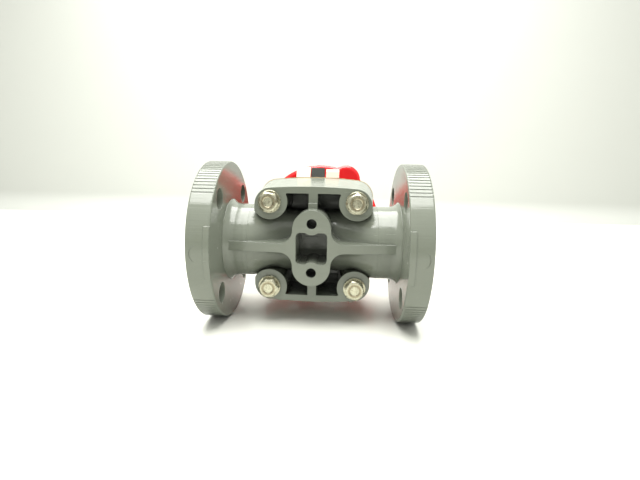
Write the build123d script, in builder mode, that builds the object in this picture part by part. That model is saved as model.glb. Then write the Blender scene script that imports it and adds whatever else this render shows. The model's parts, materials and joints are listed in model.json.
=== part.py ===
from build123d import *
import math
import os

os.makedirs("parts", exist_ok=True)

# Diaphragm valve with two pipe flanges, a rounded-square bonnet joint and a handwheel.
# Millimetres.  X runs along the pipe from the inlet sealing face, Y along the stem from the
# pipe axis towards the handwheel, and Z across both.  The inlet face centre is the origin.

# Pipe line
face_to_face = 203.2
flange_radius = 76.2
flange_thickness = 20.5
flange_edge_round = 1.4
bolt_circle_radius = 60.325
flange_hole_radius = 9.525
flange_bolts = 4
bore_radius = 25.4
neck_radius = 35.4
hub_radius = 40.0
hub_length = 10.0
middle = face_to_face / 2
neck_end = 60.0

# Grip ribs moulded round the flange rims, away from the smooth part that faces the stand
rim_rib_pitch = 3.0
rim_rib_start = 35.0
rim_groove_width = 1.6
rim_groove_depth = 0.4
rim_pad_width = 5.2
rim_pad_height = 45.0
rim_pad_step = 0.8
gate_mark_radius = 8.6
gate_mark_groove = 0.7
gate_mark_depth = 0.35
gate_mark_inset = 12.0

# Levels along the stem, measured from the pipe axis
stand_face = -42.0
skirt_face = -25.5
plate_back = 20.0
joint_face = 37.0
diaphragm_thickness = 2.5
cushion_thickness = 3.0
bonnet_base = joint_face + diaphragm_thickness + cushion_thickness
bonnet_flange_top = bonnet_base + 14.0
bonnet_top = 109.0

# Saddle under the weir and the passage over it
saddle_start = 16.0
saddle_end = 63.0
saddle_level = -14.0
saddle_top = 36.5
saddle_half = 31.5
weir_crest = 11.0
weir_half_width = 8.0
passage_end = 64.0
bowl_radius = 33.0
bowl_floor = 24.0
passage_ceiling = 26.0

# Stand boss, with two blind holes and a pocket between them
boss_radius = 17.3
boss_height = 68.8
boss_hole_spacing = 44.5
boss_hole_radius = 4.5
boss_hole_depth = 22.0
pocket_half_width = 14.0
pocket_half_height = 14.35
pocket_corner = 4.0
pocket_depth = 42.0
hole_wall_radius = 9.8
rib_half = 4.15
rib_corner = 12.0
rib_foot = -35.6
web_step = 3.0
web_band = 10.0
web_reach = 39.5

# Bonnet joint
bolt_spot = 40.2
bolt_radius = 5.0
bolt_hole_radius = 5.5
bolt_lug_radius = 16.5
skirt_wall = 48.0
skirt_pocket_half = 26.3
skirt_pocket_corner = 3.0
skirt_foot = (37.0, 16.0, 54.4, 1.2)
skirt_head = (41.3, 18.0, 61.4)
diaphragm_edge = (41.6, 61.9)
cushion_edge = (40.0, 60.2)
head_across_flats = 17.0
head_height = 7.0
washer_radius = 10.5
washer_thickness = 2.2
nut_height = 8.4
bolt_end = 70.0
head_turns = {(-1, 1): 12, (1, 1): 30, (-1, -1): 0, (1, -1): 17}

# Stem, sleeve and compressor; the valve is modelled fully open
travel = 30.0
stem_radius = 9.0
stem_tip_radius = 5.0
running_gap = 0.05
sleeve_radius = 13.0
sleeve_seat_radius = 12.0
collar_radius = 18.0
sleeve_top = 141.0
compressor_bottom = 47.5
bar_half_length = 17.5
bar_half_width = 8.0
bar_round = 6.0
compressor_radius = 29.5
cavity_radius = 31.5
guide_reach = 32.4
guide_half = 3.0
guide_slot_gap = 0.35
pin_radius = 2.5
pin_level = 70.0

# Middle of the diaphragm, its stud, and what sits round the stem
dome_height = 4.5
dome_radius = 31.0
dome_flat = 14.0
stud_head_radius = 8.0
stud_radius = 4.0
collar_low = 85.0
collar_high = 93.0
shoulder = 96.0
chamber_top = 80.0
seal_level = 103.0
seal_half = 1.6
seal_depth = 2.4
key_low = 113.0
key_length = 18.0
key_width = 4.0
nut_seat = 135.0
stop_level = sleeve_top + travel + 1
stop_height = 5.0
indicator_radius = 9.5
cover_top = 190.0
tag_thickness = 2.0
tag_centres = (-15.7, 15.9)
tag_widths = (15.2, 14.4)
tag_tops = (72.4, 70.5)

# Handwheel
wheel_radius = 75.6
wheel_low = 124.0
wheel_high = 146.0
lobe_radius = 18.0
lobe_centre = 66.0
lobe_turn = 28.7
wheel_round = 4.5
hub_outer = 24.0
hub_low = 111.0
hub_high = 147.0
hub_recess = 18.5
window_inner = 30.0
window_outer = 52.0
arm_half = 11.0
dish_open = 57.0
dish_floor = 52.0
dish_depth = 8.0

# Tag holder on the bonnet flange: a strip with a wedge on it, and a leaning tag on either side
holder_low = bonnet_base + 1
holder_depth = 9.0
holder_length = 47.0
wedge_back = 54.0
wedge_top = 72.8
wedge_half = 7.3
wedge_foot = 1.4
strip_height = 2.6
flange_crest = 58.5

stem_axis = Axis((middle, 0, 0), (0, 1, 0))
side_view = Plane(origin=(middle, 0, 0), x_dir=(1, 0, 0), z_dir=(0, 0, 1))
mid_plane = Plane.YZ.offset(middle)
bolt_corners = [(x, z) for x in (-1, 1) for z in (1, -1)]
bolt_places = [(x * bolt_spot, -z * bolt_spot) for x, z in bolt_corners]


def across(level):
    """Plane square to the stem at a level, facing the handwheel; its y points down -Z."""
    return Plane(origin=(middle, level, 0), x_dir=(1, 0, 0), z_dir=(0, 1, 0))


def outline(points, plane=side_view):
    """Closed straight-sided outline; on the side view the points are (radius, level)."""
    with BuildSketch(plane) as drawn:
        with BuildLine():
            Polyline(*points, close=True)
        make_face()
    return drawn.sketch


def ring(inner, outer, low, high):
    """Rectangular section of a ring about the stem."""
    return outline([(inner, low), (outer, low), (outer, high), (inner, high)])


def rounded_square(level, corner, radius, crown, widening=0.0):
    """Flange outline: four corner arcs joined by crowned top and bottom and straight sides."""
    wide = corner + widening
    bend = radius * math.sqrt(0.5)
    with BuildSketch(across(level)) as drawn:
        with BuildLine():
            for side in (-1, 1):
                edge = side * (corner + radius)
                flank = side * (wide + radius)
                ThreePointArc((-wide, edge), (0, side * crown), (wide, edge))
                Line((flank, -corner), (flank, corner))
                for top in (-1, 1):
                    ThreePointArc(
                        (side * wide, top * (corner + radius)),
                        (side * (wide + bend), top * (corner + bend)),
                        (flank, top * corner),
                    )
        make_face()
    return drawn.sketch


def ease(position):
    """Smooth step from 0 to 1."""
    t = min(max(position, 0.0), 1.0)
    return t * t * (3 - 2 * t)


def oval(station, low, high, half_height):
    """Oval pipe section at a station along X from the stem, between two levels."""
    with BuildSketch(mid_plane.offset(station)) as drawn:
        with Locations(((low + high) / 2, 0)):
            Ellipse((high - low) / 2, half_height)
    return drawn.sketch


def saddle_section(station):
    """Outside of the passage: round at the necks, hollowed underneath at the weir."""
    bend = ease((abs(station) - saddle_start) / (saddle_end - saddle_start))
    low = saddle_level - (neck_radius - 0.06 + saddle_level) * bend
    high = saddle_top + (neck_radius - 0.06 - saddle_top) * bend
    return oval(station, low, high, saddle_half + (neck_radius - 0.03 - saddle_half) * bend)


def passage_section(station):
    """Inside of the passage: round at the necks, with its floor rising to the weir crest."""
    climb = ease((abs(station) - weir_half_width) / (passage_end - weir_half_width))
    roof = ease((abs(station) - 40) / (passage_end - 40))
    low = weir_crest - (bore_radius - 0.05 + weir_crest) * climb
    high = passage_ceiling + (bore_radius - 0.05 - passage_ceiling) * roof
    return oval(station, low, high, bore_radius - 0.02 + 1.6 * (1 - climb))


def finish(builder, name):
    """Label a finished piece and write it."""
    builder.part.label = name
    export_step(builder.part, f"parts/{name}.step")


def turned_out(points):
    """Take away what a (radius, level) outline sweeps about the stem."""
    revolve(outline(points), axis=stem_axis, mode=Mode.SUBTRACT)


def add_rim(level, thickness, corner, crest):
    """Flat rim between body and bonnet, with its bolt holes and its round opening."""
    with BuildSketch(across(level)) as holes:
        Circle(bowl_radius)
        with Locations(*bolt_places):
            Circle(bolt_hole_radius)
    extrude(rounded_square(level, corner, 18.0, crest), amount=thickness)
    extrude(holes.sketch, amount=thickness, mode=Mode.SUBTRACT)


def dome(level, thickness, hole):
    """Section of the domed middle: flat at the rim, and flat again about the stem."""
    with BuildSketch(side_view) as drawn:
        with BuildLine():
            flat = dome_flat
            low = level + dome_height
            Line((hole, low), (flat, low))
            Spline((flat, low), (dome_radius, level), tangents=((1, 0), (1, 0)))
            Polyline(
                (dome_radius, level),
                (bowl_radius, level),
                (bowl_radius, level + thickness),
                (dome_radius, level + thickness),
            )
            Spline((dome_radius, level + thickness), (flat, low + thickness), tangents=((-1, 0), (-1, 0)))
            Polyline((flat, low + thickness), (hole, low + thickness), (hole, low))
        make_face()
    return drawn.sketch


def placed(builder, side, top, turn):
    """A fastener built on the stem axis, turned and moved to one bonnet bolt."""
    turned = builder.part.rotate(stem_axis, turn)
    return Location((side * bolt_spot, 0, top * bolt_spot)) * turned


rim_groove_count = int((360 - 2 * rim_rib_start) / rim_rib_pitch) + 1
stations = (-66, -56, -48, -40, -32, -22, 0, 22, 32, 40, 48, 56, 66)
inner_stations = (-64, -56, -48, -40, -32, -22, -8, 8, 22, 32, 40, 48, 56, 64)

# ---------------------------------------------------------------- pipe flanges
# Each flange disc ends at the face that the neck's hub grows from
for name, face, inward in (("inlet_flange", 0, 1), ("outlet_flange", face_to_face, -1)):
    with BuildPart() as flange:
        with BuildSketch(Plane.YZ.offset(face)):
            Circle(flange_radius)
        extrude(amount=inward * flange_thickness)
        fillet(flange.edges().filter_by(GeomType.CIRCLE), flange_edge_round)
        # Low pad on the side of the rim that faces the way the stand faces
        pad_start = face + inward * (flange_thickness - rim_pad_width)
        with BuildSketch(Plane.YZ.offset(pad_start)):
            Circle(flange_radius + rim_pad_step)
            with Locations((-flange_radius, 0)):
                Rectangle(30, rim_pad_height, mode=Mode.INTERSECT)
        extrude(amount=inward * rim_pad_width)
        # Bore, and the bolt holes straddling the axes
        with BuildSketch(Plane.YZ.offset(face)):
            Circle(bore_radius)
            with PolarLocations(bolt_circle_radius, flange_bolts, start_angle=45):
                Circle(flange_hole_radius)
        extrude(amount=inward * flange_thickness, mode=Mode.SUBTRACT)
        # Grip ribs are what shallow grooves leave across the rim
        with BuildSketch(Plane.YZ.offset(face)):
            with PolarLocations(
                flange_radius,
                rim_groove_count,
                start_angle=180 + rim_rib_start,
                angular_range=(rim_groove_count - 1) * rim_rib_pitch,
            ):
                Rectangle(2 * rim_groove_depth, rim_groove_width)
        extrude(amount=inward * flange_thickness, mode=Mode.SUBTRACT)
        # Round gate mark
        with BuildSketch(Plane(origin=(0, -flange_radius, 0), x_dir=(1, 0, 0), z_dir=(0, 1, 0))):
            with Locations((face + inward * gate_mark_inset, 0)):
                Circle(gate_mark_radius)
                Circle(gate_mark_radius - gate_mark_groove, mode=Mode.SUBTRACT)
        extrude(amount=gate_mark_depth, mode=Mode.SUBTRACT)
    finish(flange, name)

# ---------------------------------------------------------------- valve body
with BuildPart() as valve_body:
    # Deep skirt that carries the bonnet joint: tapered, open between the bolt lugs, and
    # closed by the joint plate
    loft([rounded_square(skirt_face, *skirt_foot), rounded_square(joint_face, *skirt_head)])
    with BuildSketch(across(skirt_face)) as skirt_opening:
        Rectangle(2 * skirt_pocket_half, 2 * skirt_wall)
        fillet(skirt_opening.vertices(), skirt_pocket_corner)
        Rectangle(150, 2 * bolt_spot)
        with Locations(*bolt_places):
            Circle(bolt_lug_radius, mode=Mode.SUBTRACT)
    extrude(amount=plate_back - skirt_face, mode=Mode.SUBTRACT)
    # Stand boss and the long rib along the pipe, with wide inside corners; the rib sinks
    # towards the necks
    with BuildSketch(across(stand_face)) as stand_outline:
        SlotOverall(boss_height, 2 * boss_radius, rotation=90)
        Rectangle(2 * (middle - flange_thickness), 2 * rib_half)
        corners = stand_outline.vertices().filter_by_position(Axis.X, -20, 20)
        fillet(corners.filter_by_position(Axis.Y, -5, 5), rib_corner)
    extrude(amount=36)
    for side in (-1, 1):
        with BuildSketch(side_view):
            with BuildLine():
                Polyline(
                    (side * middle, stand_face - 1),
                    (side * (boss_radius + 6), stand_face - 1),
                    (side * (boss_radius + 6), stand_face),
                    (side * (middle - flange_thickness), rib_foot),
                    (side * middle, rib_foot),
                    close=True,
                )
            make_face()
        extrude(amount=2 * rib_half, both=True, mode=Mode.SUBTRACT)
    # One hub and neck, turned about the pipe axis
    with BuildSketch(Plane.XY):
        with BuildLine():
            hub_start = (flange_thickness, hub_radius)
            hub_bend = (flange_thickness + 0.3 * hub_length, neck_radius + 0.4 * (hub_radius - neck_radius))
            hub_stop = (flange_thickness + hub_length, neck_radius)
            ThreePointArc(hub_start, hub_bend, hub_stop)
            Polyline(
                hub_stop,
                (middle - neck_end, neck_radius),
                (middle - neck_end, 0),
                (flange_thickness, 0),
                hub_start,
            )
        make_face()
    inlet_end = revolve(axis=Axis.X)
    mirror(inlet_end, about=mid_plane)
    # Outside of the passage, hollowed under the weir
    loft([saddle_section(station) for station in stations])
    # Upright web between skirt and boss, in two steps
    for level, reach in ((skirt_face, skirt_wall + 1), (skirt_face - web_step, web_reach)):
        with BuildSketch(across(level)):
            Rectangle(2 * rib_half, 2 * reach)
        extrude(amount=web_band)
    with BuildSketch(across(skirt_face + web_band - 1)):
        Rectangle(2 * rib_half, 2 * skirt_wall + 2)
    extrude(amount=plate_back - skirt_face - web_band + 1)
    # Bore and the way over the weir up to the diaphragm
    for face, inward in ((0, 1), (face_to_face, -1)):
        with BuildSketch(Plane.YZ.offset(face)):
            Circle(bore_radius)
        extrude(amount=inward * (middle - passage_end + 1), mode=Mode.SUBTRACT)
    loft([passage_section(station) for station in inner_stations], mode=Mode.SUBTRACT)
    with BuildSketch(across(joint_face)):
        Circle(bowl_radius)
    extrude(amount=bowl_floor - joint_face, mode=Mode.SUBTRACT)
    # Pocket in the stand face, with round walls left about the two screw holes
    with BuildSketch(across(stand_face)):
        RectangleRounded(2 * pocket_half_width, 2 * pocket_half_height, pocket_corner)
        with GridLocations(0, boss_hole_spacing, 1, 2):
            Circle(hole_wall_radius, mode=Mode.SUBTRACT)
    extrude(amount=pocket_depth, mode=Mode.SUBTRACT)
    with BuildSketch(across(stand_face)):
        with GridLocations(0, boss_hole_spacing, 1, 2):
            Circle(boss_hole_radius)
    extrude(amount=boss_hole_depth, mode=Mode.SUBTRACT)
    # Bonnet bolt holes
    with BuildSketch(across(skirt_face)):
        with Locations(*bolt_places):
            Circle(bolt_hole_radius)
    extrude(amount=joint_face - skirt_face, mode=Mode.SUBTRACT)
finish(valve_body, "valve_body")

# ---------------------------------------------------------------- diaphragm
# The wetted layer and its rubber backing are clamped round the joint and domed in the middle
with BuildPart() as diaphragm:
    add_rim(joint_face, diaphragm_thickness, *diaphragm_edge)
    revolve(dome(joint_face, diaphragm_thickness, 0), axis=stem_axis)
finish(diaphragm, "diaphragm")

cushion_base = joint_face + diaphragm_thickness
with BuildPart() as backing_cushion:
    add_rim(cushion_base, cushion_thickness, *cushion_edge)
    revolve(dome(cushion_base, cushion_thickness, stud_head_radius + 0.3), axis=stem_axis)
finish(backing_cushion, "backing_cushion")

dome_top = dome_height + cushion_base
with BuildPart() as diaphragm_stud:
    stud_points = [
        (0, dome_top + 0.1),
        (stud_head_radius, dome_top + 0.1),
        (stud_head_radius, dome_top + 2.6),
        (stud_radius, dome_top + 2.6),
        (stud_radius, compressor_bottom + 12),
        (0, compressor_bottom + 12),
    ]
    revolve(outline(stud_points), axis=stem_axis)
finish(diaphragm_stud, "diaphragm_stud")

# ---------------------------------------------------------------- compressor and stem
disc_low = compressor_bottom + 8
disc_high = disc_low + 7
hub_end = disc_high + 15
with BuildPart() as compressor:
    # Bar that presses the diaphragm onto the weir, rounded at its lower edges
    with BuildSketch(mid_plane) as bar:
        with Locations(((compressor_bottom + disc_low) / 2 + 1, 0)):
            Rectangle(disc_low - compressor_bottom + 2, 2 * bar_half_length)
        fillet(bar.vertices().group_by(Axis.X)[0], bar_round)
    extrude(amount=bar_half_width, both=True)
    revolve(ring(0, compressor_radius, disc_low, disc_high), axis=stem_axis)
    revolve(ring(0, 15, disc_high, hub_end), axis=stem_axis)
    # Four guide fins that keep it from turning in the bonnet
    with BuildSketch(across(disc_low)):
        Rectangle(2 * guide_reach, 2 * guide_half)
        Rectangle(2 * guide_half, 2 * guide_reach)
        Circle(guide_reach, mode=Mode.INTERSECT)
    extrude(amount=disc_high - disc_low + 9)
    revolve(ring(0, stem_radius + running_gap, disc_high, hub_end + 1), axis=stem_axis, mode=Mode.SUBTRACT)
    revolve(ring(0, stud_radius + running_gap, 0, disc_high + 1), axis=stem_axis, mode=Mode.SUBTRACT)
    with BuildSketch(mid_plane):
        with Locations((pin_level, 0)):
            Circle(pin_radius)
    extrude(amount=20, both=True, mode=Mode.SUBTRACT)
finish(compressor, "compressor")

with BuildPart() as stem:
    stem_points = [
        (0, disc_high + 0.1),
        (stem_radius, disc_high + 0.1),
        (stem_radius, sleeve_top - 8),
        (stem_tip_radius, sleeve_top - 6),
        (stem_tip_radius, stop_level + stop_height + 4),
        (0, stop_level + stop_height + 4),
    ]
    revolve(outline(stem_points), axis=stem_axis)
    with BuildSketch(mid_plane):
        with Locations((pin_level, 0)):
            Circle(pin_radius)
    extrude(amount=20, both=True, mode=Mode.SUBTRACT)
finish(stem, "stem")

with BuildPart() as compressor_pin:
    with BuildSketch(mid_plane):
        with Locations((pin_level, 0)):
            Circle(pin_radius - 0.02)
    extrude(amount=14.5, both=True)
    chamfer(compressor_pin.edges().filter_by(GeomType.CIRCLE), 0.5)
finish(compressor_pin, "compressor_pin")

with BuildPart() as travel_stop:
    with BuildSketch(across(stop_level)):
        RegularPolygon(8.0, 6, major_radius=False)
        Circle(stem_tip_radius + 0.02, mode=Mode.SUBTRACT)
    extrude(amount=stop_height)
    chamfer(travel_stop.edges().filter_by(GeomType.CIRCLE), 0.4)
finish(travel_stop, "travel_stop")

with BuildPart() as position_indicator:
    cap_points = [
        (0, stop_level + stop_height + 4.05),
        (stem_tip_radius + 0.02, stop_level + stop_height + 4.05),
        (stem_tip_radius + 0.02, stop_level + stop_height + 0.1),
        (indicator_radius, stop_level + stop_height + 0.1),
        (indicator_radius, stop_level + stop_height + 5.5),
        (indicator_radius - 1.5, stop_level + stop_height + 7),
        (0, stop_level + stop_height + 7),
    ]
    revolve(outline(cap_points), axis=stem_axis)
finish(position_indicator, "position_indicator")

# ---------------------------------------------------------------- sleeve and its seals
with BuildPart() as sleeve:
    sleeve_points = [
        (stem_radius + running_gap, collar_low - 4),
        (sleeve_radius + 1, collar_low - 4),
        (sleeve_radius + 1, collar_low),
        (collar_radius, collar_low),
        (collar_radius, collar_high),
        (sleeve_radius, collar_high),
        (sleeve_radius, seal_level - seal_half),
        (sleeve_radius - seal_depth, seal_level - seal_half),
        (sleeve_radius - seal_depth, seal_level + seal_half),
        (sleeve_radius, seal_level + seal_half),
        (sleeve_radius, hub_low - 0.1),
        (sleeve_seat_radius, hub_low - 0.1),
        (sleeve_seat_radius, sleeve_top),
        (stem_radius + running_gap, sleeve_top),
    ]
    revolve(outline(sleeve_points), axis=stem_axis)
    with BuildSketch(across(key_low)):
        with Locations((sleeve_seat_radius, 0)):
            Rectangle(key_width, key_width)
    extrude(amount=key_length, mode=Mode.SUBTRACT)
finish(sleeve, "sleeve")

with BuildPart() as handwheel_key:
    with BuildSketch(across(key_low)):
        with Locations((sleeve_seat_radius, 0)):
            Rectangle(key_width - 0.04, key_width - 0.04)
    extrude(amount=key_length)
finish(handwheel_key, "handwheel_key")

with BuildPart() as sleeve_seal:
    with BuildSketch(side_view):
        with Locations((sleeve_radius - seal_depth / 2 - 0.03, seal_level)):
            Circle(seal_depth / 2 - 0.03)
    revolve(axis=stem_axis)
finish(sleeve_seal, "sleeve_seal")

with BuildPart() as thrust_washer:
    washer_outer = collar_radius - 0.2
    washer_levels = (collar_high + 0.05, shoulder - 0.05)
    revolve(ring(sleeve_radius + 0.3, washer_outer, *washer_levels), axis=stem_axis)
finish(thrust_washer, "thrust_washer")

with BuildPart() as wheel_washer:
    revolve(ring(sleeve_radius + 0.3, 22, bonnet_top, hub_low - 0.1), axis=stem_axis)
finish(wheel_washer, "wheel_washer")

# ---------------------------------------------------------------- bonnet
with BuildPart() as bonnet:
    extrude(rounded_square(bonnet_base, 40.0, 17.0, flange_crest), amount=bonnet_flange_top - bonnet_base)
    fillet(bonnet.edges().group_by(Axis.Y)[-1], 2.0)
    # Domed housing and the neck that carries the sleeve
    with BuildSketch(side_view):
        with BuildLine():
            shoulder_low = (46, bonnet_flange_top - 2)
            shoulder_high = (44, bonnet_flange_top + 4)
            neck_low = (27, bonnet_top - 10)
            Polyline((0, bonnet_flange_top - 2), shoulder_low, shoulder_high)
            Spline(
                shoulder_high,
                (40.5, chamber_top),
                (33.5, chamber_top + 10),
                neck_low,
                tangents=((-0.1, 1), (-0.1, 1)),
            )
            Polyline(
                neck_low,
                (25, bonnet_top - 1),
                (24, bonnet_top),
                (0, bonnet_top),
                (0, bonnet_flange_top - 2),
            )
        make_face()
    revolve(axis=stem_axis)
    # Web from the housing to each bolt lug
    for turn in (45, 135):
        web_plane = Plane(
            origin=(middle, 0, 0),
            x_dir=(math.cos(math.radians(turn)), 0, math.sin(math.radians(turn))),
            z_dir=(-math.sin(math.radians(turn)), 0, math.cos(math.radians(turn))),
        )
        with BuildSketch(web_plane):
            with BuildLine():
                Polyline(
                    (-44, bonnet_flange_top - 1),
                    (-28, bonnet_flange_top + 28),
                    (28, bonnet_flange_top + 28),
                    (44, bonnet_flange_top - 1),
                    close=True,
                )
            make_face()
        extrude(amount=3, both=True)
    # Chamber for the compressor, its guide slots, and the stepped bore for the sleeve
    revolve(ring(0, cavity_radius, 0, chamber_top), axis=stem_axis, mode=Mode.SUBTRACT)
    with BuildSketch(across(bonnet_base)):
        slot_reach = 2 * (guide_reach + 0.5)
        slot_width = 2 * (guide_half + guide_slot_gap)
        Rectangle(slot_reach, slot_width)
        Rectangle(slot_width, slot_reach)
    extrude(amount=chamber_top - bonnet_base - 3, mode=Mode.SUBTRACT)
    revolve(ring(0, collar_radius + 0.4, 0, shoulder), axis=stem_axis, mode=Mode.SUBTRACT)
    revolve(ring(0, sleeve_radius + running_gap, 0, bonnet_top + 1), axis=stem_axis, mode=Mode.SUBTRACT)
    with BuildSketch(across(bonnet_base)):
        with Locations(*bolt_places):
            Circle(bolt_hole_radius)
    extrude(amount=bonnet_flange_top - bonnet_base, mode=Mode.SUBTRACT)
    # Flat seats for the washers
    with BuildSketch(across(bonnet_flange_top)):
        with Locations(*bolt_places):
            Circle(washer_radius + 1)
    extrude(amount=12, mode=Mode.SUBTRACT)
finish(bonnet, "bonnet")

# ---------------------------------------------------------------- bolts, washers and nuts
head_low = skirt_face - washer_thickness - head_height
with BuildPart() as one_head:
    with BuildSketch(across(head_low)):
        RegularPolygon(head_across_flats / 2, 6, major_radius=False)
    extrude(amount=head_height)
    # Corners turned off round the top, and a shallow dish in the middle of it
    crown = [(0, 0), (7.6, 0), (8.4, 0.5), (10.2, 1.9), (10.2, head_height), (0, head_height)]
    revolve(outline([(r, head_low + h) for r, h in crown]), axis=stem_axis, mode=Mode.INTERSECT)
    turned_out([(0, head_low + 0.5), (4.2, head_low + 0.5), (5.0, head_low), (0, head_low)])
    revolve(ring(0, bolt_radius, head_low + head_height, bolt_end), axis=stem_axis)
    chamfer(one_head.edges().group_by(Axis.Y)[-1], 0.8)

with BuildPart() as one_nut:
    with BuildSketch(across(bonnet_flange_top + washer_thickness)):
        RegularPolygon(head_across_flats / 2, 6, major_radius=False)
    extrude(amount=nut_height)
    nut_low = bonnet_flange_top + washer_thickness
    crown = [(0, 0), (8.3, 0), (10.2, 1.1), (10.2, nut_height - 1.1), (8.3, nut_height), (0, nut_height)]
    revolve(outline([(r, nut_low + h) for r, h in crown]), axis=stem_axis, mode=Mode.INTERSECT)
    revolve(ring(0, bolt_radius + 0.02, 0, 90), axis=stem_axis, mode=Mode.SUBTRACT)

with BuildPart() as bonnet_bolts:
    for side, top in bolt_corners:
        add(placed(one_head, side, top, head_turns[(side, top)]))
finish(bonnet_bolts, "bonnet_bolts")

with BuildPart() as bonnet_nuts:
    for side, top in bolt_corners:
        add(placed(one_nut, side, top, 20 * side + 11 * top))
finish(bonnet_nuts, "bonnet_nuts")

for name, level in (("body_washers", skirt_face - washer_thickness), ("bonnet_washers", bonnet_flange_top)):
    with BuildPart() as washers:
        with BuildSketch(across(level)):
            with Locations(*bolt_places):
                Circle(washer_radius)
                Circle(bolt_radius + 0.25, mode=Mode.SUBTRACT)
        extrude(amount=washer_thickness)
        chamfer(washers.edges().filter_by(GeomType.CIRCLE), 0.25)
    finish(washers, name)

# ---------------------------------------------------------------- handwheel
with BuildPart() as handwheel:
    with BuildSketch(across(wheel_low)) as wheel_outline:
        Circle(wheel_radius)
        with PolarLocations(lobe_centre, 4, start_angle=lobe_turn):
            Circle(lobe_radius)
        fillet(wheel_outline.vertices(), 7)
    extrude(amount=wheel_high - wheel_low)
    fillet(handwheel.edges().group_by(Axis.Y)[0], wheel_round)
    fillet(handwheel.edges().group_by(Axis.Y)[-1], wheel_round)
    # Dished on both sides between the rim and the hub, with four openings between the arms
    for face, inward in ((wheel_high + 0.01, -1), (wheel_low - 0.01, 1)):
        floor = face + inward * dish_depth
        turned_out([(0, face), (dish_open, face), (dish_floor, floor), (0, floor)])
    with BuildSketch(across(wheel_low)) as windows:
        Circle(window_outer)
        Circle(window_inner, mode=Mode.SUBTRACT)
        with PolarLocations(0, 4, start_angle=lobe_turn):
            Rectangle(4 * wheel_radius, 2 * arm_half, mode=Mode.SUBTRACT)
        fillet(windows.vertices(), 4)
    extrude(amount=wheel_high - wheel_low, mode=Mode.SUBTRACT)
    revolve(ring(0, hub_outer, hub_low, hub_high), axis=stem_axis)
    fillet(handwheel.edges().filter_by(GeomType.CIRCLE).group_by(Axis.Y)[-1], 1.2)
    revolve(ring(0, sleeve_seat_radius + 0.02, 0, 200), axis=stem_axis, mode=Mode.SUBTRACT)
    revolve(ring(0, hub_recess, nut_seat, 200), axis=stem_axis, mode=Mode.SUBTRACT)
    with BuildSketch(across(key_low)):
        with Locations((sleeve_seat_radius, 0)):
            Rectangle(key_width, key_width)
    extrude(amount=key_length, mode=Mode.SUBTRACT)
finish(handwheel, "handwheel")

with BuildPart() as wheel_nut:
    revolve(ring(sleeve_seat_radius + 0.02, 17, nut_seat, sleeve_top), axis=stem_axis)
    with BuildSketch(across(sleeve_top)):
        with PolarLocations(17, 4):
            Rectangle(5, 4)
    extrude(amount=-3, mode=Mode.SUBTRACT)
finish(wheel_nut, "wheel_nut")

# ---------------------------------------------------------------- gauge cover and its seal
with BuildPart() as gauge_cover:
    cover_points = [
        (14.0, sleeve_top + 0.5),
        (hub_recess - 0.05, sleeve_top + 0.5),
        (hub_recess - 0.05, hub_high + 1.6),
        (21.5, hub_high + 1.6),
        (21.5, hub_high + 4),
        (14.5, hub_high + 5),
        (14.0, cover_top - 3),
        (11.5, cover_top),
        (0, cover_top),
        (0, cover_top - 2.2),
        (10.5, cover_top - 2.2),
        (12.0, cover_top - 4),
        (12.2, hub_high + 2),
        (14.0, hub_high),
    ]
    revolve(outline(cover_points), axis=stem_axis)
finish(gauge_cover, "gauge_cover")

with BuildPart() as gauge_seal:
    with BuildSketch(side_view):
        with Locations((hub_recess + 0.85, hub_high + 0.8)):
            Circle(0.78)
    revolve(axis=stem_axis)
finish(gauge_seal, "gauge_seal")

# ---------------------------------------------------------------- tag holder and tags
lean = math.atan2(wedge_top - flange_crest - wedge_foot, wedge_back - holder_low)
with BuildPart() as tag_holder:
    with BuildSketch(across(holder_low)):
        with Locations((0, -(flange_crest + 0.2 + strip_height / 2))):
            Rectangle(holder_length, strip_height)
    extrude(amount=holder_depth)
    wedge = [
        (holder_low, flange_crest + 0.1),
        (holder_low, flange_crest + wedge_foot),
        (wedge_back, wedge_top),
        (wedge_back, flange_crest + 0.1),
    ]
    extrude(outline(wedge, mid_plane), amount=wedge_half, both=True)
    fillet(tag_holder.edges().filter_by(Axis.X).group_by(Axis.Z)[-1], 0.6)
finish(tag_holder, "tag_holder")

with BuildPart() as tag_plates:
    for centre, width, top in zip(tag_centres, tag_widths, tag_tops):
        foot = flange_crest + strip_height + 0.25
        front = holder_low + 2.5
        rise = top - foot
        back = front + rise / math.tan(lean)
        across_lean = tag_thickness / math.sin(lean)
        leaning = [
            (front, foot),
            (back, top),
            (back + tag_thickness * math.sin(lean), top - tag_thickness * math.cos(lean)),
            (front + across_lean, foot),
        ]
        extrude(outline(leaning, mid_plane.offset(centre)), amount=width / 2 - 0.05, both=True)
finish(tag_plates, "tag_plates")
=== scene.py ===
import json
import math

import bpy
from mathutils import Matrix, Vector


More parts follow.
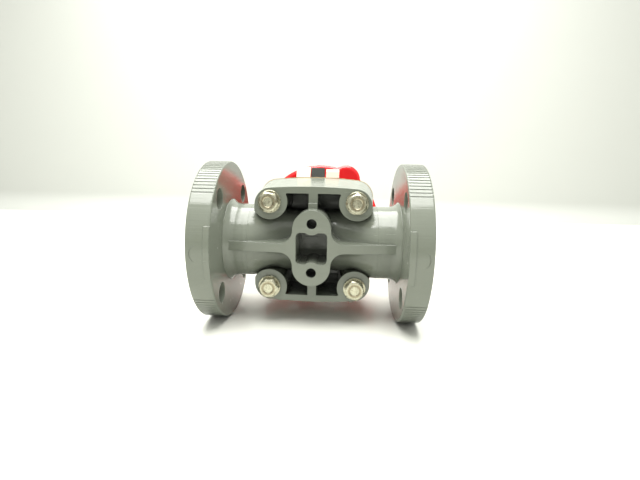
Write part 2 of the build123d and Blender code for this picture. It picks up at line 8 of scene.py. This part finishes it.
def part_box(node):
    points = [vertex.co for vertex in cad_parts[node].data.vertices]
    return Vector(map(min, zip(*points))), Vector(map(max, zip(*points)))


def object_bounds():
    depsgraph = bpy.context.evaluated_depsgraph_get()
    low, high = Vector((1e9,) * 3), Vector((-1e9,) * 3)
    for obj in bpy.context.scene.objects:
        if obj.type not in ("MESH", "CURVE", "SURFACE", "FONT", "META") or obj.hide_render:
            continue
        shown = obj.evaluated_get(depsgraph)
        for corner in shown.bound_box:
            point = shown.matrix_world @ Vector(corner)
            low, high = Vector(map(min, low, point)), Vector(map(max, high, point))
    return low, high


# Diaphragm valve: materials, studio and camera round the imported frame.
# Metres, in the row frame: X along the pipe, Y along the stem, Z up.
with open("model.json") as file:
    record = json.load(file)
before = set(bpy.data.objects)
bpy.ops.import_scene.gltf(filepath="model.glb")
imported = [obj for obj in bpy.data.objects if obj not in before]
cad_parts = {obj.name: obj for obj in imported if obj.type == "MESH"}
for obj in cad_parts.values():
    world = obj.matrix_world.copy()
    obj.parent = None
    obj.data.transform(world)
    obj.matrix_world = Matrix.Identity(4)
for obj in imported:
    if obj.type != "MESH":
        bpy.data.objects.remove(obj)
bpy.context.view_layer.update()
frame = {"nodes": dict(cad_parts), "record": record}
nodes = frame["nodes"]

MM = 0.001
body_low, body_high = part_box("valve_body")
MIDDLE = (body_low.x + body_high.x) / 2
bolt_low, bolt_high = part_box("bonnet_washers")
washer_radius = 10.5 * MM
BOLT_SPOT = (bolt_high.x - bolt_low.x) / 2 - washer_radius


# ------------------------------------------------------------------ material helpers
def new_material(name):
    """A node material and its shader."""
    material = bpy.data.materials.new(name)
    material.use_nodes = True
    shader = material.node_tree.nodes["Principled BSDF"]
    return material, shader


def add(tree, kind, settings=None, **values):
    """A node with its settings and its input values; a socket as a value is linked."""
    made = tree.nodes.new(kind)
    for key, value in (settings or {}).items():
        setattr(made, key, value)
    for key, value in values.items():
        by_number = key[0] == "i" and key[1:].isdigit()
        socket = made.inputs[int(key[1:]) if by_number else key.replace("_", " ")]
        if isinstance(value, bpy.types.NodeSocket):
            tree.links.new(value, socket)
        else:
            socket.default_value = value
    return made


def place(tree, scale=(1, 1, 1)):
    """Object coordinates in metres, stretched per axis."""
    coordinates = add(tree, "ShaderNodeTexCoord")
    mapped = add(tree, "ShaderNodeMapping", Vector=coordinates.outputs["Object"], Scale=scale)
    return mapped.outputs["Vector"]


def noise(tree, vector, scale, detail=3.0, roughness=0.5):
    made = add(tree, "ShaderNodeTexNoise", Vector=vector, Scale=scale, Detail=detail, Roughness=roughness)
    return made.outputs["Fac"]


def spread(tree, value, low, high, to_low=0.0, to_high=1.0):
    made = add(
        tree, "ShaderNodeMapRange", Value=value, From_Min=low, From_Max=high, To_Min=to_low, To_Max=to_high
    )
    return made.outputs["Result"]


def maths(tree, operation, a, b=0.0):
    return add(tree, "ShaderNodeMath", {"operation": operation}, i0=a, i1=b).outputs[0]


def blend_colour(tree, factor, a, b, kind="MIX"):
    made = tree.nodes.new("ShaderNodeMix")
    made.data_type = "RGBA"
    made.blend_type = kind
    for index, value in ((0, factor), (6, a), (7, b)):
        if isinstance(value, bpy.types.NodeSocket):
            tree.links.new(value, made.inputs[index])
        else:
            made.inputs[index].default_value = value if index == 0 else (*value, 1.0)
    return made.outputs[2]


def bump(tree, height, strength, distance, normal=None):
    made = add(tree, "ShaderNodeBump", Height=height, Strength=strength, Distance=distance)
    if normal is not None:
        tree.links.new(normal, made.inputs["Normal"])
    return made.outputs["Normal"]


def soft_edges(tree, radius):
    """Normals rounded over sharp edges, as a mould leaves them."""
    return add(tree, "ShaderNodeBevel", {"samples": 6}, Radius=radius).outputs["Normal"]


def scratches(tree, scale, stretch, angle):
    """Thin, sparse, slightly wandering lines."""
    coordinates = add(tree, "ShaderNodeTexCoord")
    mapped = add(
        tree, "ShaderNodeMapping", Vector=coordinates.outputs["Object"], Rotation=angle, Scale=stretch
    )
    lines = noise(tree, mapped.outputs["Vector"], scale, 2.0, 0.6)
    return spread(tree, lines, 0.69, 0.74)


def link(material, shader, **sockets):
    for key, value in sockets.items():
        socket = shader.inputs[key.replace("_", " ")]
        if isinstance(value, bpy.types.NodeSocket):
            material.node_tree.links.new(value, socket)
        else:
            socket.default_value = value


# ------------------------------------------------------------------ materials
def moulded_plastic(name, base, dark, roughness, edge, seed=0.0):
    """Glossy moulded plastic: faint clouding, flow streaks, fine scratches, soft edges, and painted shade in its
    deep pockets and crevices.
    """
    material, shader = new_material(name)
    tree = material.node_tree
    even = place(tree)
    clouds = noise(tree, even, 14.0 + seed, 4.0, 0.55)
    grains = noise(tree, even, 900.0, 2.0, 0.5)
    stain = noise(tree, even, 37.0 + seed, 5.0, 0.65)
    tone = blend_colour(tree, spread(tree, clouds, 0.3, 0.7), dark, base)
    tone = blend_colour(tree, spread(tree, grains, 0.45, 0.75, 0.0, 0.12), tone, [c * 1.25 for c in base])
    stained = [c * s for c, s in zip(dark, (0.95, 0.9, 0.78))]
    tone = blend_colour(tree, spread(tree, stain, 0.62, 0.78, 0.0, 0.22), tone, stained)
    # Painted shade: the colour is darkened towards near black where ambient occlusion finds deep pockets, recesses
    # and contact lines.
    painted_cavity_shade = add(tree, "ShaderNodeAmbientOcclusion", {"samples": 8}, Distance=0.028).outputs["AO"]
    tone = blend_colour(tree, spread(tree, painted_cavity_shade, 0.11, 0.33), [c * 0.10 for c in dark], tone)
    streak = noise(tree, place(tree, (0.12, 1.0, 1.0)), 420.0, 2.0, 0.6)
    wave = noise(tree, place(tree, (0.5, 1.0, 1.0)), 55.0, 2.0, 0.5)
    marks = scratches(tree, 260.0, (0.05, 1.0, 1.0), (0.3, 0.5, 0.2))
    facing = add(tree, "ShaderNodeSeparateXYZ", Vector=add(tree, "ShaderNodeNewGeometry").outputs["Normal"])
    round_side = maths(tree, "SUBTRACT", 1.0, maths(tree, "ABSOLUTE", facing.outputs[0]))
    flow = noise(tree, place(tree, (0.03, 1.0, 1.0)), 330.0, 2.0, 0.5)
    normal = bump(tree, maths(tree, "MULTIPLY", flow, round_side), 0.35, 0.0005, soft_edges(tree, edge))
    height = maths(tree, "ADD", maths(tree, "MULTIPLY", streak, 0.25), wave)
    normal = bump(tree, height, 0.05, 0.0006, normal)
    normal = bump(tree, marks, 0.12, 0.0002, normal)
    wear = noise(tree, even, 160.0, 4.0, 0.6)
    rough = spread(tree, wear, 0.35, 0.7, roughness * 0.85, roughness * 1.25)
    rough = maths(tree, "ADD", rough, maths(tree, "MULTIPLY", marks, 0.15))
    link(material, shader, Base_Color=tone, Roughness=rough, Normal=normal, Specular_IOR_Level=0.5, IOR=1.5)
    return material


def radial_distance(tree):
    """Distance from the axis of the nearest bonnet bolt."""
    split = add(tree, "ShaderNodeSeparateXYZ", Vector=place(tree))
    from_stem = maths(tree, "ABSOLUTE", maths(tree, "SUBTRACT", split.outputs[0], MIDDLE))
    across = maths(tree, "SUBTRACT", from_stem, BOLT_SPOT)
    up = maths(tree, "SUBTRACT", maths(tree, "ABSOLUTE", split.outputs[2]), BOLT_SPOT)
    square = maths(tree, "ADD", maths(tree, "MULTIPLY", across, across), maths(tree, "MULTIPLY", up, up))
    return maths(tree, "SQRT", square)


def stainless(name, roughness):
    """Cold-headed stainless steel: faint turning rings, a darker brown ring in the dish, grime patches, dulled
    patches.
    """
    material, shader = new_material(name)
    tree = material.node_tree
    radius = radial_distance(tree)
    rings = maths(tree, "SINE", maths(tree, "MULTIPLY", radius, 15000.0))
    dull = noise(tree, place(tree), 420.0, 5.0, 0.65)
    grime = noise(tree, place(tree), 190.0, 4.0, 0.6)
    tone = blend_colour(tree, spread(tree, dull, 0.35, 0.7), (0.36, 0.345, 0.26), (0.56, 0.545, 0.42))
    # A darker brown ring round each bolt axis, about 3.5 to 7.2 mm out, laid over the random grime patches.
    dish = maths(tree, "MULTIPLY", spread(tree, radius, 0.0035, 0.0052), spread(tree, radius, 0.0072, 0.0054))
    patches = spread(tree, grime, 0.55, 0.72, 0.0, 0.7)
    grime_and_dish_ring = maths(tree, "MAXIMUM", patches, maths(tree, "MULTIPLY", dish, 0.75))
    tone = blend_colour(tree, grime_and_dish_ring, tone, (0.20, 0.155, 0.09))
    rough = spread(tree, dull, 0.3, 0.7, roughness * 0.8, roughness * 1.4)
    normal = bump(tree, rings, 0.10, 0.00004, soft_edges(tree, 0.00035))
    normal = bump(tree, dull, 0.15, 0.00012, normal)
    link(material, shader, Base_Color=tone, Metallic=1.0, Roughness=rough, Normal=normal)
    return material


def turned_metal(name, base, roughness):
    """Turned metal of the parts round the stem, with rings about the stem axis."""
    material, shader = new_material(name)
    tree = material.node_tree
    along = noise(tree, place(tree, (0.02, 1.0, 0.02)), 2600.0, 2.0, 0.5)
    dull = noise(tree, place(tree), 300.0, 4.0, 0.6)
    tone = blend_colour(tree, spread(tree, dull, 0.3, 0.7), [c * 0.78 for c in base], base)
    rough = spread(tree, dull, 0.3, 0.7, roughness * 0.8, roughness * 1.3)
    normal = bump(tree, along, 0.25, 0.00008, soft_edges(tree, 0.0003))
    link(material, shader, Base_Color=tone, Metallic=1.0, Roughness=rough, Normal=normal)
    return material


def rubber(name, base, roughness):
    material, shader = new_material(name)
    tree = material.node_tree
    cloth = noise(tree, place(tree), 1500.0, 3.0, 0.6)
    bloom = noise(tree, place(tree), 60.0, 4.0, 0.6)
    bloomed = [min(1.0, c * 1.35 + 0.01) for c in base]
    tone = blend_colour(tree, spread(tree, bloom, 0.35, 0.7), base, bloomed)
    normal = bump(tree, cloth, 0.3, 0.0001)
    rough = spread(tree, bloom, 0.3, 0.7, roughness * 0.9, roughness * 1.1)
    link(material, shader, Base_Color=tone, Roughness=rough, Normal=normal)
    return material


def matte_plastic(name, base, roughness, gloss=0.5):
    material, shader = new_material(name)
    tree = material.node_tree
    grain = noise(tree, place(tree), 2200.0, 2.0, 0.5)
    clouds = noise(tree, place(tree), 90.0, 4.0, 0.6)
    dark = [c * 0.85 for c in base]
    pale = [min(1.0, c * 1.12) for c in base]
    tone = blend_colour(tree, spread(tree, clouds, 0.3, 0.7), dark, pale)
    normal = bump(tree, grain, 0.25, 0.00006, soft_edges(tree, 0.0004))
    rough = spread(tree, clouds, 0.3, 0.7, roughness * 0.85, roughness * 1.15)
    link(material, shader, Base_Color=tone, Roughness=rough, Normal=normal, Specular_IOR_Level=gloss)
    return material


def clear_cover(name):
    material, shader = new_material(name)
    tree = material.node_tree
    haze = noise(tree, place(tree), 240.0, 4.0, 0.6)
    rough = spread(tree, haze, 0.4, 0.75, 0.03, 0.14)
    link(
        material, shader, Base_Color=(0.93, 0.96, 0.95, 1.0), Roughness=rough, IOR=1.5, Transmission_Weight=1.0,
        Normal=soft_edges(tree, 0.0003),
    )
    return material


def tag_card(name):
    """Cream card; the card on the outlet side is tinted pink below its middle."""
    material = moulded_plastic(name, (0.52, 0.47, 0.34), (0.50, 0.45, 0.32), 0.45, 0.0003, 9.0)
    tree = material.node_tree
    shader = tree.nodes["Principled BSDF"]
    low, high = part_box("tag_plates")
    split = add(tree, "ShaderNodeSeparateXYZ", Vector=place(tree))
    outlet_side = maths(tree, "GREATER_THAN", split.outputs[0], MIDDLE)
    tall = high.z - low.z
    height = spread(tree, split.outputs[2], low.z + 0.52 * tall, low.z + 0.60 * tall, 1.0, 0.0)
    plain = shader.inputs["Base Color"].links[0].from_socket
    tinted = blend_colour(tree, maths(tree, "MULTIPLY", outlet_side, height), plain, (0.46, 0.25, 0.19))
    tree.links.new(tinted, shader.inputs["Base Color"])
    return material


BODY, BODY_DARK = (0.160, 0.174, 0.142), (0.146, 0.160, 0.129)
BONNET, BONNET_DARK = (0.156, 0.17, 0.139), (0.143, 0.156, 0.128)
WHEEL_RED, WHEEL_RED_DARK = (0.72, 0.012, 0.016), (0.65, 0.009, 0.012)
INDICATOR_RED, INDICATOR_RED_DARK = (0.7, 0.02, 0.02), (0.6, 0.015, 0.015)
looks = {
    "body_plastic": moulded_plastic("body_plastic", BODY, BODY_DARK, 0.15, 0.0008),
    "bonnet_plastic": moulded_plastic("bonnet_plastic", BONNET, BONNET_DARK, 0.14, 0.0008, 3.0),
    "wheel_plastic": moulded_plastic("wheel_plastic", WHEEL_RED, WHEEL_RED_DARK, 0.12, 0.0008, 5.0),
    "indicator_plastic": moulded_plastic("indicator_plastic", INDICATOR_RED, INDICATOR_RED_DARK, 0.2, 0.0003, 7.0),
    "tag_plastic": tag_card("tag_plastic"),
    "stainless": stainless("stainless", 0.26),
    "sleeve_brass": turned_metal("sleeve_brass", (0.78, 0.58, 0.26), 0.28),
    "diaphragm_sheet": rubber("diaphragm_sheet", (0.42, 0.30, 0.16), 0.5),
    "cushion_rubber": rubber("cushion_rubber", (0.02, 0.02, 0.02), 0.6),
    "seal_rubber": rubber("seal_rubber", (0.015, 0.015, 0.015), 0.5),
    "compressor_plastic": matte_plastic("compressor_plastic", (0.05, 0.05, 0.05), 0.55),
    "washer_plastic": matte_plastic("washer_plastic", (0.8, 0.78, 0.7), 0.4),
    "holder_plastic": matte_plastic("holder_plastic", (0.022, 0.024, 0.020), 0.7, 0.15),
    "clear_cover": clear_cover("clear_cover"),
}
slots = {part["node"]: part["material_slot"] for part in frame["record"]["subparts"]}
for name, piece in nodes.items():
    piece.data.materials.clear()
    piece.data.materials.append(looks[slots[name]])


# ------------------------------------------------------------------ studio
def stage_material(name, colour, roughness, coat):
    material, shader = new_material(name)
    tree = material.node_tree
    mottle = noise(tree, place(tree), 3.0, 4.0, 0.6)
    tone = blend_colour(tree, spread(tree, mottle, 0.3, 0.7), [c * 0.985 for c in colour], colour)
    link(material, shader, Base_Color=tone, Roughness=roughness, Coat_Weight=coat, Coat_Roughness=0.08)
    return material


def studio():
    """Floor that turns up into a wall behind, in one swept sheet."""
    floor_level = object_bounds()[0][2]
    front, wall, bend, height, half = -0.95, 0.91, 0.06, 1.6, 2.2
    profile = [(front, 0.0), (wall - bend, 0.0)]
    for step in range(1, 9):
        turn = math.radians(90 * step / 8)
        profile.append((wall - bend + bend * math.sin(turn), bend - bend * math.cos(turn)))
    profile.append((wall, height))
    corners = []
    for y, z in profile:
        corners += [(MIDDLE - half, y, floor_level + z), (MIDDLE + half, y, floor_level + z)]
    faces = [(2 * i, 2 * i + 1, 2 * i + 3, 2 * i + 2) for i in range(len(profile) - 1)]
    mesh = bpy.data.meshes.new("studio_floor")
    mesh.from_pydata(corners, [], faces)
    for face in mesh.polygons:
        face.use_smooth = True
    floor = bpy.data.objects.new("studio_floor", mesh)
    bpy.context.scene.collection.objects.link(floor)
    mesh.materials.append(stage_material("studio_floor", (0.68, 0.685, 0.64), 0.5, 0.25))
    mesh.materials.append(stage_material("studio_wall", (0.50, 0.51, 0.48), 0.7, 0.0))
    for face in mesh.polygons[1:]:
        face.material_index = 1


def area_light(name, place_at, aim, size, power, colour):
    data = bpy.data.lights.new(name, "AREA")
    data.shape = "RECTANGLE"
    data.size, data.size_y = size
    data.energy = power
    data.color = colour
    lamp = bpy.data.objects.new(name, data)
    bpy.context.scene.collection.objects.link(lamp)
    lamp.location = place_at
    lamp.rotation_euler = (Vector(aim) - Vector(place_at)).to_track_quat("-Z", "Y").to_euler()


def lighting():
    world = bpy.data.worlds.new("studio_air")
    bpy.context.scene.world = world
    world.use_nodes = True
    tree = world.node_tree
    background = tree.nodes["Background"]
    generated = add(tree, "ShaderNodeTexCoord").outputs["Generated"]
    direction = add(tree, "ShaderNodeSeparateXYZ", Vector=generated)
    above = spread(tree, direction.outputs[2], 0.05, 0.55)
    front = blend_colour(tree, above, (0.35, 0.355, 0.31), (1.15, 1.16, 1.10))
    behind = spread(tree, direction.outputs[1], -0.4, 0.3)
    tone = blend_colour(tree, behind, front, (1.12, 1.14, 1.08))
    tree.links.new(tone, background.inputs["Color"])
    background.inputs["Strength"].default_value = 1.0
    centre = (MIDDLE, 0.05, 0.0)
    area_light("overhead", (MIDDLE - 0.1, 0.05, 1.15), centre, (1.5, 1.1), 50.0, (1.0, 1.0, 0.97))


def camera():
    """The view: slightly right of the stem, a little above, close and wide."""
    turn, lift, roll = math.radians(2.61), math.radians(9.97), math.radians(1.11)
    distance = 0.3948
    target = Vector((MIDDLE + 0.0058, 0.0, 0.001))
    back = Vector((math.sin(turn) * math.cos(lift), -math.cos(turn) * math.cos(lift), math.sin(lift)))
    right = Vector((0, 0, 1)).cross(back).normalized()
    up = back.cross(right)
    rolled_right = math.cos(roll) * right + math.sin(roll) * up
    rolled_up = math.cos(roll) * up - math.sin(roll) * right
    data = bpy.data.cameras.new("view")
    data.sensor_width = 36.0
    data.lens = 22.36
    data.clip_start = 0.01
    view = bpy.data.objects.new("view", data)
    bpy.context.scene.collection.objects.link(view)
    spin = Matrix((rolled_right, rolled_up, back)).transposed().to_4x4()
    view.matrix_world = Matrix.Translation(target + back * distance) @ spin
    bpy.context.scene.camera = view


studio()
lighting()
camera()
bpy.context.scene.view_settings.view_transform = "Standard"
